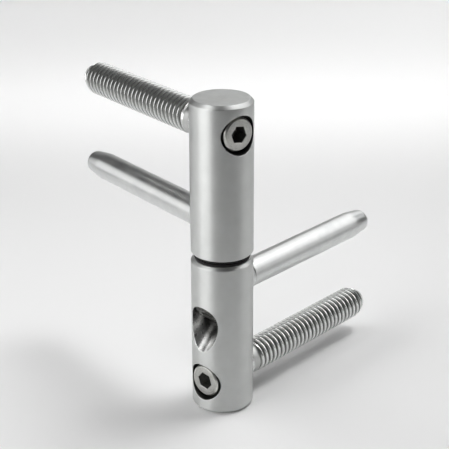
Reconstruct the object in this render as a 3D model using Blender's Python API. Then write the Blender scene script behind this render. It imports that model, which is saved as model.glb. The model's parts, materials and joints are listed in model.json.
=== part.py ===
# Adjustable drill-in barrel door hinge, standing upright.
# Metres, +Z up. The origin is the centre of the frame barrel's lower face, on the hinge axis.
# The frame half's pins point along +Y. The leaf half stands turned, as in the photograph.
import math

import bmesh
import bpy
from mathutils import Matrix

MM = 0.001

# Barrels
BARREL_RADIUS = 8.0 * MM
FRAME_BARREL_HEIGHT = 41.8 * MM
LEAF_BARREL_HEIGHT = 40.5 * MM
PARTING_GAP = 1.6 * MM
END_CHAMFER = 0.9 * MM
PARTING_CHAMFER = 0.75 * MM
LEAF_MOUTH_CHAMFER = 0.4 * MM
LEAF_ANGLE = math.radians(79.3)

# Clearances
SEAT_GAP = 0.2 * MM
RUNNING_GAP = 0.15 * MM

# Pivot pin and its bearings
PIVOT_RADIUS = 3.0 * MM
PIVOT_DEPTH_IN_FRAME = 11.5 * MM
PIVOT_RISE_IN_LEAF = 16.0 * MM
PIVOT_CHAMFER = 0.5 * MM
BUSH_WALL = 0.9 * MM
FRAME_BUSH_LENGTH = 6.0 * MM
LEAF_BUSH_LENGTH = 13.0 * MM
FLANGE_INSET = 0.85 * MM
FLANGE_THICKNESS = 0.5 * MM
DISC_THICKNESS = 1.6 * MM
DRILL_POINT = 1.2 * MM
BORE_RELIEF = 1.0 * MM

# Smooth guide pins
GUIDE_RADIUS = 3.75 * MM
GUIDE_PROJECTION = 51.6 * MM
GUIDE_WALL = 0.95 * MM
GUIDE_TAPER_LENGTH = 6.0 * MM
GUIDE_TIP_RADIUS = 3.1 * MM
GUIDE_TIP_ROUND = 0.9 * MM
GUIDE_NECK_OUT = 0.9 * MM
GUIDE_NECK_WIDTH = 0.5 * MM
GUIDE_NECK_DEPTH = 0.2 * MM
FRAME_GUIDE_DROP = 8.2 * MM
LEAF_GUIDE_RISE = 7.4 * MM

# Fixing screws
SCREW_RADIUS = 4.45 * MM
SCREW_PROJECTION = 50.9 * MM
SCREW_FACE_DEPTH = 1.0 * MM
SCREW_NECK_RADIUS = 3.4 * MM
SCREW_SHANK_RADIUS = 4.2 * MM
COLLAR_DEPTH = 1.4 * MM
COLLAR_PROUD = 0.2 * MM
COLLAR_EDGE = 0.25 * MM
THREAD_PITCH = 1.7 * MM
THREAD_HEIGHT = 0.7 * MM
THREAD_OUT = 1.9 * MM
THREAD_FADE = 2.0 * MM
SCREW_TIP_LENGTH = 3.4 * MM
SCREW_TIP_RADIUS = 3.3 * MM
SCREW_TIP_ROUND = 0.8 * MM
FRAME_SCREW_HEIGHT = 8.5 * MM
LEAF_SCREW_DROP = 7.8 * MM
RING_RADIUS = 4.3 * MM
RING_CHAMFER = 0.3 * MM
COUNTERBORE_RADIUS = 5.0 * MM
COUNTERBORE_DEPTH = 4.0 * MM

# Hexagon sockets, where the drill point's depth is a share of the socket's radius
HEX_ACROSS_FLATS = 4.0 * MM
HEX_DEPTH = 4.0 * MM
HEX_POINT_SLOPE = 0.3
HEX_TURN = math.radians(10.0)
HEX_SIDES = 6

# Inclined height screw
HEIGHT_SLOPE = math.radians(45.0)
CROSSING_OVER_TIP = 1.4 * MM
HEIGHT_SCREW_RADIUS = 4.0 * MM
HEIGHT_SCREW_LENGTH = 4.91 * MM
HEIGHT_MOUTH_RADIUS = 4.42 * MM
HEIGHT_SCREW_EDGE = 0.35 * MM
HEIGHT_HEX_DEPTH = 2.2 * MM
HEIGHT_TRAVEL = 2.0 * MM
PAD_RADIUS = 3.4 * MM
PAD_THICKNESS = 1.0 * MM
PAD_STEM_RADIUS = 1.3 * MM
PAD_STEM_LENGTH = 1.3 * MM

# Facets round each kind of turned piece, and the thread's crest and root line in each turn
BARREL_SIDES = 64
PIN_SIDES = 32
SMALL_SIDES = 28
THREAD_SIDES = 18
LINES_PER_TURN = 2
ROUND_STEPS = 3
CUT_OVERSHOOT = 5.0 * MM
MERGE_DISTANCE = 0.001 * MM
SHARP_ANGLE = math.radians(30.0)

# Sizes worked out from those above
LEAF_BASE = FRAME_BARREL_HEIGHT + PARTING_GAP
HINGE_TOP = LEAF_BASE + LEAF_BARREL_HEIGHT
LEAF_GUIDE_HEIGHT = LEAF_BASE + LEAF_GUIDE_RISE
LEAF_SCREW_HEIGHT = HINGE_TOP - LEAF_SCREW_DROP
FRAME_GUIDE_HEIGHT = FRAME_BARREL_HEIGHT - FRAME_GUIDE_DROP
PIVOT_TIP_HEIGHT = FRAME_BARREL_HEIGHT - PIVOT_DEPTH_IN_FRAME
HEIGHT_CROSSING = PIVOT_TIP_HEIGHT + CROSSING_OVER_TIP
PIVOT_TOP = LEAF_BASE + PIVOT_RISE_IN_LEAF
BUSH_INNER = PIVOT_RADIUS + RUNNING_GAP
BUSH_OUTER = BUSH_INNER + BUSH_WALL
BUSH_BORE = BUSH_OUTER + SEAT_GAP
PIVOT_BORE = PIVOT_RADIUS + SEAT_GAP
FLANGE_RADIUS = BARREL_RADIUS - FLANGE_INSET
GUIDE_ROOT = BUSH_BORE + GUIDE_WALL
GUIDE_REACH = BARREL_RADIUS + GUIDE_PROJECTION
GUIDE_NECK_START = BARREL_RADIUS + GUIDE_NECK_OUT
SCREW_FACE = BARREL_RADIUS - SCREW_FACE_DEPTH
COUNTERBORE_FLOOR = BARREL_RADIUS - COUNTERBORE_DEPTH
COLLAR_START = BARREL_RADIUS - COLLAR_DEPTH
COLLAR_END = BARREL_RADIUS + COLLAR_PROUD
THREAD_START = BARREL_RADIUS + THREAD_OUT
SCREW_REACH = BARREL_RADIUS + SCREW_PROJECTION
SCREW_TIP_START = SCREW_REACH - SCREW_TIP_LENGTH
THREAD_END = SCREW_REACH - SCREW_TIP_ROUND
FRAME_BUSH_TOP = FRAME_BARREL_HEIGHT - SEAT_GAP
FRAME_BUSH_BASE = FRAME_BUSH_TOP - FRAME_BUSH_LENGTH
DISC_BASE = PIVOT_TOP + SEAT_GAP
DISC_TOP = DISC_BASE + DISC_THICKNESS
LEAF_BORE_TOP = DISC_TOP + SEAT_GAP
# The pivot's point is a right-angled cone, so one flank lies flat on the pad's face.
PAD_FACE = CROSSING_OVER_TIP * math.sin(HEIGHT_SLOPE) + SEAT_GAP
PAD_BACK = PAD_FACE + PAD_THICKNESS
HEIGHT_SCREW_NOSE = PAD_BACK + SEAT_GAP
HEIGHT_SCREW_FACE = HEIGHT_SCREW_NOSE + HEIGHT_SCREW_LENGTH
HEIGHT_BORE_RADIUS = HEIGHT_SCREW_RADIUS + SEAT_GAP

# Colours and finishes from the photograph
SATIN_STEEL = ((0.62, 0.63, 0.62), 0.32, 1.0)
PLATED_STEEL = ((0.70, 0.71, 0.70), 0.22, 1.0)
SOCKET_STEEL = ((0.55, 0.55, 0.52), 0.35, 1.0)
BLACKENED_STEEL = ((0.09, 0.09, 0.085), 0.30, 1.0)
PIVOT_STEEL = ((0.66, 0.66, 0.67), 0.18, 1.0)
BEARING_BRONZE = ((0.60, 0.42, 0.22), 0.40, 1.0)
BLACK_NYLON = ((0.02, 0.02, 0.02), 0.45, 0.0)


def clear_scene():
    """Remove whatever the opened file holds."""
    for existing in list(bpy.data.objects):
        bpy.data.objects.remove(existing, do_unlink=True)


def material(name, finish):
    """A Principled material from a colour, a roughness and a metallic value."""
    colour, roughness, metallic = finish
    made = bpy.data.materials.new(name)
    made.use_nodes = True
    shader = made.node_tree.nodes["Principled BSDF"]
    shader.inputs["Base Color"].default_value = (*colour, 1.0)
    shader.inputs["Roughness"].default_value = roughness
    shader.inputs["Metallic"].default_value = metallic
    made.diffuse_color = (*colour, 1.0)
    return made


def pin_placement(height):
    """Local +Z becomes world +Y, with the origin on the hinge axis at a height."""
    return Matrix.Translation((0.0, 0.0, height)) @ Matrix.Rotation(math.radians(-90.0), 4, "X")


def height_placement():
    """Local +Z runs out of the inclined bore, forwards and down, from its crossing of the axis."""
    turn = Matrix.Rotation(math.radians(90.0) + HEIGHT_SLOPE, 4, "X")
    return Matrix.Translation((0.0, 0.0, HEIGHT_CROSSING)) @ turn


def add_object(name, mesh, placement, parent, finish):
    """Link a mesh as one named object with its own material."""
    made = bpy.data.objects.new(name, mesh)
    bpy.context.scene.collection.objects.link(made)
    made.parent = parent
    made.matrix_local = placement
    if finish is None:
        made.hide_render = True
        made.display_type = "WIRE"
    else:
        mesh.materials.append(material(name, finish))
    return made


def add_ring(bm, radius, height, sides):
    """One ring of vertices, or a single vertex where the profile meets the axis."""
    if radius == 0.0:
        return [bm.verts.new((0.0, 0.0, height))]
    ring = []
    for side in range(sides):
        angle = math.tau * side / sides
        ring.append(bm.verts.new((radius * math.cos(angle), radius * math.sin(angle), height)))
    return ring


def bridge(bm, lower, upper):
    """Faces between two neighbouring rings, either of which may be a point."""
    sides = max(len(lower), len(upper))
    for side in range(sides):
        after = (side + 1) % sides
        if len(lower) == 1:
            bm.faces.new((lower[0], upper[after], upper[side]))
        elif len(upper) == 1:
            bm.faces.new((lower[side], lower[after], upper[0]))
        else:
            bm.faces.new((lower[side], lower[after], upper[after], upper[side]))


def lathe(bm, profile, sides):
    """Rings for each (radius, height) point, with faces between them, and the first and last ring."""
    rings = [add_ring(bm, radius, height, sides) for radius, height in profile]
    for lower, upper in zip(rings, rings[1:]):
        bridge(bm, lower, upper)
    return rings[0], rings[-1]


def finished_mesh(name, bm):
    """The closed mesh of a turned piece, with its faces pointing out."""
    bmesh.ops.recalc_face_normals(bm, faces=bm.faces)
    mesh = bpy.data.meshes.new(name)
    bm.to_mesh(mesh)
    bm.free()
    mesh.shade_smooth()
    mesh.set_sharp_from_angle(angle=SHARP_ANGLE)
    return mesh


def turned(name, profile, sides):
    """A turned mesh from (radius, height) points, up the outside from the lower end.

    A profile that starts and ends on the axis is a solid. Any other closes as a hollow ring.
    """
    bm = bmesh.new()
    first, last = lathe(bm, profile, sides)
    if profile[0][0] > 0.0:
        bridge(bm, last, first)
    return finished_mesh(name, bm)


def quarter_round(radius_from, radius_to, height_from, height_to):
    """Points of a quarter ellipse that leaves the side and arrives on the end face."""
    points = []
    for step in range(ROUND_STEPS + 1):
        angle = 0.5 * math.pi * step / ROUND_STEPS
        radius = radius_to + (radius_from - radius_to) * math.cos(angle)
        height = height_from + (height_to - height_from) * math.sin(angle)
        points.append((radius, height))
    return points


def cylinder_profile(radius, start, end):
    """A plain solid cylinder, used for cutters."""
    return [(0.0, start), (radius, start), (radius, end), (0.0, end)]


def cut(target, name, profile, sides, placement):
    """Subtract a turned cutter from an object."""
    cutter = add_object(name, turned(name, profile, sides), placement, target.parent, None)
    subtract(target, cutter)


def subtract(target, cutter):
    """Add a Boolean difference to an object."""
    boolean = target.modifiers.new(cutter.name, "BOOLEAN")
    boolean.operation = "DIFFERENCE"
    boolean.solver = "EXACT"
    boolean.object = cutter


def hexagon_cutter(name, face, depth, placement, parent):
    """A hexagon key's hole that opens at a face and ends inside in a shallow drill point."""
    corner_radius = HEX_ACROSS_FLATS / math.sqrt(3.0)
    floor = face + math.copysign(depth, -face)
    point = face + math.copysign(depth + HEX_POINT_SLOPE * corner_radius, -face)
    mouth = face + math.copysign(CUT_OVERSHOOT, face)
    low, high = sorted((floor, mouth))
    profile = [(0.0, low), (corner_radius, low), (corner_radius, high), (0.0, high)]
    tip_index = 0 if floor < mouth else len(profile) - 1
    profile[tip_index] = (0.0, point)
    mesh = turned(name, profile, HEX_SIDES)
    mesh.transform(Matrix.Rotation(HEX_TURN, 4, "Z"))
    return add_object(name, mesh, placement, parent, None)


def frame_barrel_profile():
    """Outside with a chamfer at each end, then down the stepped bore from the top."""
    bore_floor = PIVOT_TIP_HEIGHT - BORE_RELIEF
    return [
        (0.0, 0.0),
        (BARREL_RADIUS - END_CHAMFER, 0.0),
        (BARREL_RADIUS, END_CHAMFER),
        (BARREL_RADIUS, FRAME_BARREL_HEIGHT - PARTING_CHAMFER),
        (BARREL_RADIUS - PARTING_CHAMFER, FRAME_BARREL_HEIGHT),
        (BUSH_BORE, FRAME_BARREL_HEIGHT),
        (BUSH_BORE, FRAME_BUSH_BASE - SEAT_GAP),
        (PIVOT_BORE, FRAME_BUSH_BASE - SEAT_GAP),
        (PIVOT_BORE, bore_floor),
        (0.0, bore_floor - DRILL_POINT),
    ]


def leaf_barrel_profile():
    """Up the blind bore from the lower face, closed over the thrust disc."""
    return [
        (0.0, LEAF_BORE_TOP + DRILL_POINT),
        (BUSH_BORE, LEAF_BORE_TOP),
        (BUSH_BORE, LEAF_BASE),
        (BARREL_RADIUS - LEAF_MOUTH_CHAMFER, LEAF_BASE),
        (BARREL_RADIUS, LEAF_BASE + LEAF_MOUTH_CHAMFER),
        (BARREL_RADIUS, HINGE_TOP - END_CHAMFER),
        (BARREL_RADIUS - END_CHAMFER, HINGE_TOP),
        (0.0, HINGE_TOP),
    ]


def cut_pin_holes(barrel, half, screw_height, guide_height):
    """The stepped screw bore through a barrel and the guide pin's blind hole."""
    outside = BARREL_RADIUS + CUT_OVERSHOOT
    screw_place = pin_placement(screw_height)
    neck_hole = SCREW_NECK_RADIUS + SEAT_GAP
    collar_hole = SCREW_RADIUS + SEAT_GAP
    collar_floor = COLLAR_START - SEAT_GAP
    stepped_bore = [
        (0.0, -outside),
        (COUNTERBORE_RADIUS, -outside),
        (COUNTERBORE_RADIUS, -COUNTERBORE_FLOOR),
        (neck_hole, -COUNTERBORE_FLOOR),
        (neck_hole, collar_floor),
        (collar_hole, collar_floor),
        (collar_hole, outside),
        (0.0, outside),
    ]
    cut(barrel, half + "_screw_bore", stepped_bore, PIN_SIDES, screw_place)
    guide_hole = cylinder_profile(GUIDE_RADIUS + SEAT_GAP, GUIDE_ROOT - SEAT_GAP, outside)
    cut(barrel, half + "_guide_hole", guide_hole, PIN_SIDES, pin_placement(guide_height))


def cut_height_bore(barrel):
    """The inclined bore: a wide smooth mouth, then the height screw's own bore."""
    step = HEIGHT_SCREW_FACE - HEIGHT_SCREW_EDGE
    inner_end = PAD_FACE - HEIGHT_TRAVEL - SEAT_GAP
    outside = HEIGHT_SCREW_FACE + BARREL_RADIUS + CUT_OVERSHOOT
    stepped_bore = [
        (0.0, inner_end),
        (HEIGHT_BORE_RADIUS, inner_end),
        (HEIGHT_BORE_RADIUS, step),
        (HEIGHT_MOUTH_RADIUS, step),
        (HEIGHT_MOUTH_RADIUS, outside),
        (0.0, outside),
    ]
    cut(barrel, "height_bore", stepped_bore, PIN_SIDES, height_placement())


def make_frame_barrel(parent):
    mesh = turned("frame_barrel", frame_barrel_profile(), BARREL_SIDES)
    barrel = add_object("frame_barrel", mesh, Matrix.Identity(4), parent, SATIN_STEEL)
    cut_pin_holes(barrel, "frame", FRAME_SCREW_HEIGHT, FRAME_GUIDE_HEIGHT)
    cut_height_bore(barrel)
    return barrel


def make_leaf_barrel(parent):
    mesh = turned("leaf_barrel", leaf_barrel_profile(), BARREL_SIDES)
    barrel = add_object("leaf_barrel", mesh, Matrix.Identity(4), parent, SATIN_STEEL)
    cut_pin_holes(barrel, "leaf", LEAF_SCREW_HEIGHT, LEAF_GUIDE_HEIGHT)
    return barrel


def make_guide_pin(name, height, parent):
    """A smooth pin with a shallow neck outside the barrel and a long lead-in taper."""
    neck_end = GUIDE_NECK_START + GUIDE_NECK_WIDTH
    neck_radius = GUIDE_RADIUS - GUIDE_NECK_DEPTH
    taper_start = GUIDE_REACH - GUIDE_TAPER_LENGTH
    round_start = GUIDE_REACH - GUIDE_TIP_ROUND
    profile = [
        (0.0, GUIDE_ROOT),
        (GUIDE_RADIUS - GUIDE_NECK_DEPTH, GUIDE_ROOT),
        (GUIDE_RADIUS, GUIDE_ROOT + GUIDE_NECK_DEPTH),
        (GUIDE_RADIUS, GUIDE_NECK_START),
        (neck_radius, GUIDE_NECK_START + GUIDE_NECK_DEPTH),
        (neck_radius, neck_end - GUIDE_NECK_DEPTH),
        (GUIDE_RADIUS, neck_end),
        (GUIDE_RADIUS, taper_start),
    ]
    profile += quarter_round(GUIDE_TIP_RADIUS, GUIDE_TIP_RADIUS - GUIDE_TIP_ROUND, round_start, GUIDE_REACH)
    profile.append((0.0, GUIDE_REACH))
    mesh = turned(name, profile, PIN_SIDES)
    return add_object(name, mesh, pin_placement(height), parent, PLATED_STEEL)


def thread_radius(on_crest, height):
    """The radius of the thread's crest or root line: it rises from the shank and follows the tip."""
    full = SCREW_RADIUS if on_crest else SCREW_RADIUS - THREAD_HEIGHT
    rise = min(max((height - THREAD_START) / THREAD_FADE, 0.0), 1.0)
    radius = SCREW_SHANK_RADIUS + (full - SCREW_SHANK_RADIUS) * rise
    down_the_tip = max((height - SCREW_TIP_START) / (THREAD_END - SCREW_TIP_START), 0.0)
    return min(radius, SCREW_RADIUS + (SCREW_TIP_RADIUS - SCREW_RADIUS) * down_the_tip)


def thread_columns(bm):
    """For each side, the points where crest and root lines by turns cross it, along the screw.

    The lines climb one pitch a turn. Points before the start or past the end are held there,
    so that each column begins and ends with copies of one point, which are merged afterwards.
    """
    turns = math.ceil((THREAD_END - THREAD_START) / THREAD_PITCH) + 1
    columns = []
    for side in range(THREAD_SIDES):
        angle = math.tau * side / THREAD_SIDES
        column = []
        for line in range(LINES_PER_TURN * turns + 1):
            climbed = THREAD_PITCH * (line / LINES_PER_TURN - 1.0 + side / THREAD_SIDES)
            height = min(max(THREAD_START + climbed, THREAD_START), THREAD_END)
            radius = thread_radius(line % LINES_PER_TURN == 0, height)
            column.append(bm.verts.new((radius * math.cos(angle), radius * math.sin(angle), height)))
        columns.append(column)
    return columns


def add_thread(bm):
    """A right-handed thread as helical strips. Past the last side, a line meets its next turn."""
    columns = thread_columns(bm)
    lines = len(columns[0]) - 1
    for side in range(THREAD_SIDES):
        here = columns[side]
        there = columns[(side + 1) % THREAD_SIDES]
        shift = LINES_PER_TURN if side == THREAD_SIDES - 1 else 0
        for line in range(-shift, lines):
            near = (here[max(line, 0)], here[max(line + 1, 0)])
            far = (there[min(line + shift, lines)], there[min(line + 1 + shift, lines)])
            corners = list(dict.fromkeys((near[0], far[0], far[1], near[1])))
            if len(corners) > 2:
                bm.faces.new(corners)


def threaded_mesh(name):
    """Neck through the barrel, collar behind it, plain shank, thread and rounded tip."""
    head = [
        (0.0, -SCREW_FACE),
        (SCREW_NECK_RADIUS, -SCREW_FACE),
        (SCREW_NECK_RADIUS, COLLAR_START),
        (SCREW_RADIUS, COLLAR_START),
        (SCREW_RADIUS, COLLAR_END - COLLAR_EDGE),
        (SCREW_SHANK_RADIUS, COLLAR_END + COLLAR_EDGE),
        (SCREW_SHANK_RADIUS, THREAD_START),
    ]
    tip = quarter_round(SCREW_TIP_RADIUS, SCREW_TIP_RADIUS - SCREW_TIP_ROUND, THREAD_END, SCREW_REACH)
    tip.append((0.0, SCREW_REACH))
    bm = bmesh.new()
    lathe(bm, head, THREAD_SIDES)
    add_thread(bm)
    lathe(bm, tip, THREAD_SIDES)
    bmesh.ops.remove_doubles(bm, verts=bm.verts, dist=MERGE_DISTANCE)
    return finished_mesh(name, bm)


def make_fixing_screw(name, height, parent):
    """A captive screw with a hexagon key socket in its neck."""
    placement = pin_placement(height)
    screw = add_object(name, threaded_mesh(name), placement, parent, PLATED_STEEL)
    subtract(screw, hexagon_cutter(name + "_socket", -SCREW_FACE, HEX_DEPTH, placement, parent))
    return screw


def make_screw_ring(name, height, parent):
    """The ring pressed on a fixing screw's neck, which holds the screw in its barrel."""
    inner = SCREW_NECK_RADIUS + SEAT_GAP
    floor = -COUNTERBORE_FLOOR - SEAT_GAP
    profile = [
        (inner, -SCREW_FACE),
        (RING_RADIUS - RING_CHAMFER, -SCREW_FACE),
        (RING_RADIUS, -SCREW_FACE + RING_CHAMFER),
        (RING_RADIUS, floor),
        (inner, floor),
    ]
    mesh = turned(name, profile, SMALL_SIDES)
    return add_object(name, mesh, pin_placement(height), parent, SOCKET_STEEL)


def make_height_screw(parent):
    """The short screw in the inclined bore, with a key socket outside and a pad seat inside."""
    placement = height_placement()
    seat_radius = PAD_STEM_RADIUS + SEAT_GAP
    seat_floor = PAD_BACK + PAD_STEM_LENGTH + SEAT_GAP
    profile = [
        (0.0, seat_floor),
        (seat_radius, seat_floor),
        (seat_radius, HEIGHT_SCREW_NOSE),
        (HEIGHT_SCREW_RADIUS - HEIGHT_SCREW_EDGE, HEIGHT_SCREW_NOSE),
        (HEIGHT_SCREW_RADIUS, HEIGHT_SCREW_NOSE + HEIGHT_SCREW_EDGE),
        (HEIGHT_SCREW_RADIUS, HEIGHT_SCREW_FACE - HEIGHT_SCREW_EDGE),
        (HEIGHT_SCREW_RADIUS - HEIGHT_SCREW_EDGE, HEIGHT_SCREW_FACE),
        (0.0, HEIGHT_SCREW_FACE),
    ]
    mesh = turned("height_screw", profile, SMALL_SIDES)
    screw = add_object("height_screw", mesh, placement, parent, BLACKENED_STEEL)
    socket = hexagon_cutter("height_socket", HEIGHT_SCREW_FACE, HEIGHT_HEX_DEPTH, placement, parent)
    subtract(screw, socket)
    return screw


def make_thrust_pad(parent):
    """The swivel pad in the height screw's nose, which bears on the pivot's cone."""
    profile = [
        (0.0, PAD_FACE),
        (PAD_RADIUS, PAD_FACE),
        (PAD_RADIUS, PAD_BACK),
        (PAD_STEM_RADIUS, PAD_BACK),
        (PAD_STEM_RADIUS, PAD_BACK + PAD_STEM_LENGTH),
        (0.0, PAD_BACK + PAD_STEM_LENGTH),
    ]
    mesh = turned("thrust_pad", profile, SMALL_SIDES)
    return add_object("thrust_pad", mesh, height_placement(), parent, PIVOT_STEEL)


def make_pivot_pin(parent):
    """The pivot, with its cone down on the thrust pad and its top under the thrust disc."""
    profile = [
        (0.0, PIVOT_TIP_HEIGHT),
        (PIVOT_RADIUS, PIVOT_TIP_HEIGHT + PIVOT_RADIUS / math.tan(HEIGHT_SLOPE)),
        (PIVOT_RADIUS, PIVOT_TOP - PIVOT_CHAMFER),
        (PIVOT_RADIUS - PIVOT_CHAMFER, PIVOT_TOP),
        (0.0, PIVOT_TOP),
    ]
    mesh = turned("pivot_pin", profile, PIN_SIDES)
    return add_object("pivot_pin", mesh, Matrix.Identity(4), parent, PIVOT_STEEL)


def make_frame_bush(parent):
    """The plain sleeve in the frame barrel that the pivot slides in."""
    profile = [
        (BUSH_INNER, FRAME_BUSH_BASE),
        (BUSH_OUTER, FRAME_BUSH_BASE),
        (BUSH_OUTER, FRAME_BUSH_TOP),
        (BUSH_INNER, FRAME_BUSH_TOP),
    ]
    mesh = turned("frame_bush", profile, PIN_SIDES)
    return add_object("frame_bush", mesh, Matrix.Identity(4), parent, BLACK_NYLON)


def make_gap_washer(parent):
    """The black washer that lies on the frame barrel."""
    low = FRAME_BARREL_HEIGHT + SEAT_GAP
    profile = [
        (BUSH_INNER, low),
        (FLANGE_RADIUS, low),
        (FLANGE_RADIUS, low + FLANGE_THICKNESS),
        (BUSH_INNER, low + FLANGE_THICKNESS),
    ]
    mesh = turned("gap_washer", profile, PIN_SIDES)
    return add_object("gap_washer", mesh, Matrix.Identity(4), parent, BLACK_NYLON)


def make_leaf_bush(parent):
    """The flanged bearing sleeve in the leaf barrel."""
    flange_top = LEAF_BASE - SEAT_GAP
    flange_base = flange_top - FLANGE_THICKNESS
    top = LEAF_BASE + LEAF_BUSH_LENGTH
    profile = [
        (BUSH_INNER, flange_base),
        (FLANGE_RADIUS, flange_base),
        (FLANGE_RADIUS, flange_top),
        (BUSH_OUTER, flange_top),
        (BUSH_OUTER, top),
        (BUSH_INNER, top),
    ]
    mesh = turned("leaf_bush", profile, PIN_SIDES)
    return add_object("leaf_bush", mesh, Matrix.Identity(4), parent, BLACK_NYLON)


def make_thrust_disc(parent):
    """The bronze disc in the leaf barrel's blind end, which carries the door's weight."""
    profile = cylinder_profile(BUSH_OUTER, DISC_BASE, DISC_TOP)
    mesh = turned("thrust_disc", profile, PIN_SIDES)
    return add_object("thrust_disc", mesh, Matrix.Identity(4), parent, BEARING_BRONZE)


def make_half(name, angle):
    """An empty on the hinge axis that carries one half of the hinge."""
    half = bpy.data.objects.new(name, None)
    bpy.context.scene.collection.objects.link(half)
    half.rotation_euler = (0.0, 0.0, angle)
    return half


def build():
    clear_scene()
    frame_half = make_half("frame_half", 0.0)
    make_frame_barrel(frame_half)
    make_guide_pin("frame_guide_pin", FRAME_GUIDE_HEIGHT, frame_half)
    make_fixing_screw("frame_screw", FRAME_SCREW_HEIGHT, frame_half)
    make_screw_ring("frame_screw_ring", FRAME_SCREW_HEIGHT, frame_half)
    make_frame_bush(frame_half)
    make_gap_washer(frame_half)
    make_height_screw(frame_half)
    make_thrust_pad(frame_half)
    make_pivot_pin(frame_half)
    leaf_half = make_half("leaf_half", LEAF_ANGLE)
    make_leaf_barrel(leaf_half)
    make_guide_pin("leaf_guide_pin", LEAF_GUIDE_HEIGHT, leaf_half)
    make_fixing_screw("leaf_screw", LEAF_SCREW_HEIGHT, leaf_half)
    make_screw_ring("leaf_screw_ring", LEAF_SCREW_HEIGHT, leaf_half)
    make_leaf_bush(leaf_half)
    make_thrust_disc(leaf_half)
    bpy.context.view_layer.update()


build()
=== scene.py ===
import json
import math

import bmesh
import bpy
from mathutils import Matrix, Vector


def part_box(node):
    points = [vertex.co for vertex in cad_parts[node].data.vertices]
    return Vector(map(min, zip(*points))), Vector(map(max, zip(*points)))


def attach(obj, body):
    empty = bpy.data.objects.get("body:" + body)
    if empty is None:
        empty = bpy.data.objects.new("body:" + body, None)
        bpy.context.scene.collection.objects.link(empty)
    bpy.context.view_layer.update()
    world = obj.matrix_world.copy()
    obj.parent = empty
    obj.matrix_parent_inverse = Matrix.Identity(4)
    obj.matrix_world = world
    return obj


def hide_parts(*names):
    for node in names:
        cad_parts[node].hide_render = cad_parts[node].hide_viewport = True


# Looks of the drill-in barrel hinge: fine turned metal, rolled threads and a plain studio.
# Metres, +Z up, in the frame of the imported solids.
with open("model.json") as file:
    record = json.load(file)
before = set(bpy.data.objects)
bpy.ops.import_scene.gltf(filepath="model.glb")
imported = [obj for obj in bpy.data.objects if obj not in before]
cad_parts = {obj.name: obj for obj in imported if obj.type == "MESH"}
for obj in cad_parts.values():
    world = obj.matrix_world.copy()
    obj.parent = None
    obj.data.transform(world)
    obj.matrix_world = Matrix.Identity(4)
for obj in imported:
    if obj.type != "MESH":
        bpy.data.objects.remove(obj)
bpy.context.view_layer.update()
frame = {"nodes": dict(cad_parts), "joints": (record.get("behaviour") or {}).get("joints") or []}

MM = 0.001

# Facets round each kind of turned piece, and steps in each rounded edge
BARREL_SIDES = 240
PIN_SIDES = 128
BORE_SIDES = 120
SMALL_SIDES = 96
EDGE_STEPS = 4
# The longest share of a side that one rounded corner takes
CORNER_SHARE = 0.45
SHARP_ANGLE = math.radians(40.0)
LARGE_FACES_WEIGHT = 100
# The barrels' facets are turned, so that none lines up with a cutter's.
FACET_TURN = math.radians(0.6)

# Chamfers and rounded edges
END_CHAMFER = 0.9 * MM
PARTING_CHAMFER = 0.75 * MM
LEAF_MOUTH_CHAMFER = 0.4 * MM
BARREL_EDGE_ROUND = 0.14 * MM
BORE_EDGE_ROUND = 0.16 * MM
RING_EDGE_ROUND = 0.45 * MM
HEIGHT_MOUTH_ROUND = 0.18 * MM
SOCKET_EDGE_ROUND = 0.12 * MM
SCREW_ROUND = 0.05 * MM
FINE_ROUND = 0.08 * MM
TURNED_ROUND = 0.1 * MM
PAD_ROUND = 0.15 * MM
COLLAR_ROUND = 0.2 * MM

# How far cutters stand off or reach past the faces that they cut
EDGE_CUTTER_LIFT = 0.004 * MM
SOCKET_CUTTER_OVERHANG = 0.5 * MM
OVERSHOOT = 5.0 * MM

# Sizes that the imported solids' boxes do not give
SEAT_GAP = 0.2 * MM
RUNNING_GAP = 0.15 * MM
BUSH_WALL = 0.9 * MM
FLANGE_THICKNESS = 0.5 * MM
COUNTERBORE_RADIUS = 5.0 * MM
COUNTERBORE_FLOOR = 4.0 * MM
RING_RADIUS = 4.3 * MM
RING_FIT = 0.03 * MM
SCREW_FACE = 7.0 * MM
SCREW_NECK_RADIUS = 3.4 * MM
SCREW_SHANK_RADIUS = 4.2 * MM
COLLAR_START = 6.6 * MM
COLLAR_END = 8.2 * MM
COLLAR_EDGE = 0.25 * MM
DRILL_POINT = 1.2 * MM
BORE_RELIEF = 1.0 * MM
PIVOT_CHAMFER = 0.5 * MM
HEX_ACROSS_FLATS = 4.0 * MM
HEX_DEPTH = 4.0 * MM
HEX_TURN = math.radians(10.0)
HEX_POINT_SHARE = 0.3
HEIGHT_SLOPE = math.radians(45.0)
HEIGHT_SCREW_RADIUS = 4.0 * MM
HEIGHT_SCREW_LENGTH = 4.91 * MM
HEIGHT_MOUTH_RADIUS = 4.42 * MM
HEIGHT_MOUTH_ROOM = 1.5 * HEIGHT_MOUTH_ROUND
HEIGHT_SCREW_EDGE = 0.35 * MM
HEIGHT_HEX_DEPTH = 2.2 * MM
HEIGHT_TRAVEL = 2.0 * MM
CROSSING_OVER_TIP = 1.4 * MM
PAD_RADIUS = 3.4 * MM
PAD_THICKNESS = 1.0 * MM
PAD_STEM_RADIUS = 1.3 * MM
PAD_STEM_LENGTH = 1.3 * MM

# Limits that sort the faces of a barrel or a socket
END_FACE_SLOPE = 0.9
FLAT_MARGIN = 0.02 * MM
SKIN_DEPTH = 2.0 * BORE_EDGE_ROUND
SOCKET_REACH = 2.0 * HEX_DEPTH

# Shares of the barrel's radius: nearer the axis than the first, the bores' walls carry painted shade;
# beyond the second, a painted highlight
BORE_SHADE_RADIUS = 0.55
BORE_HIGHLIGHT_RADIUS = 0.78

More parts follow.
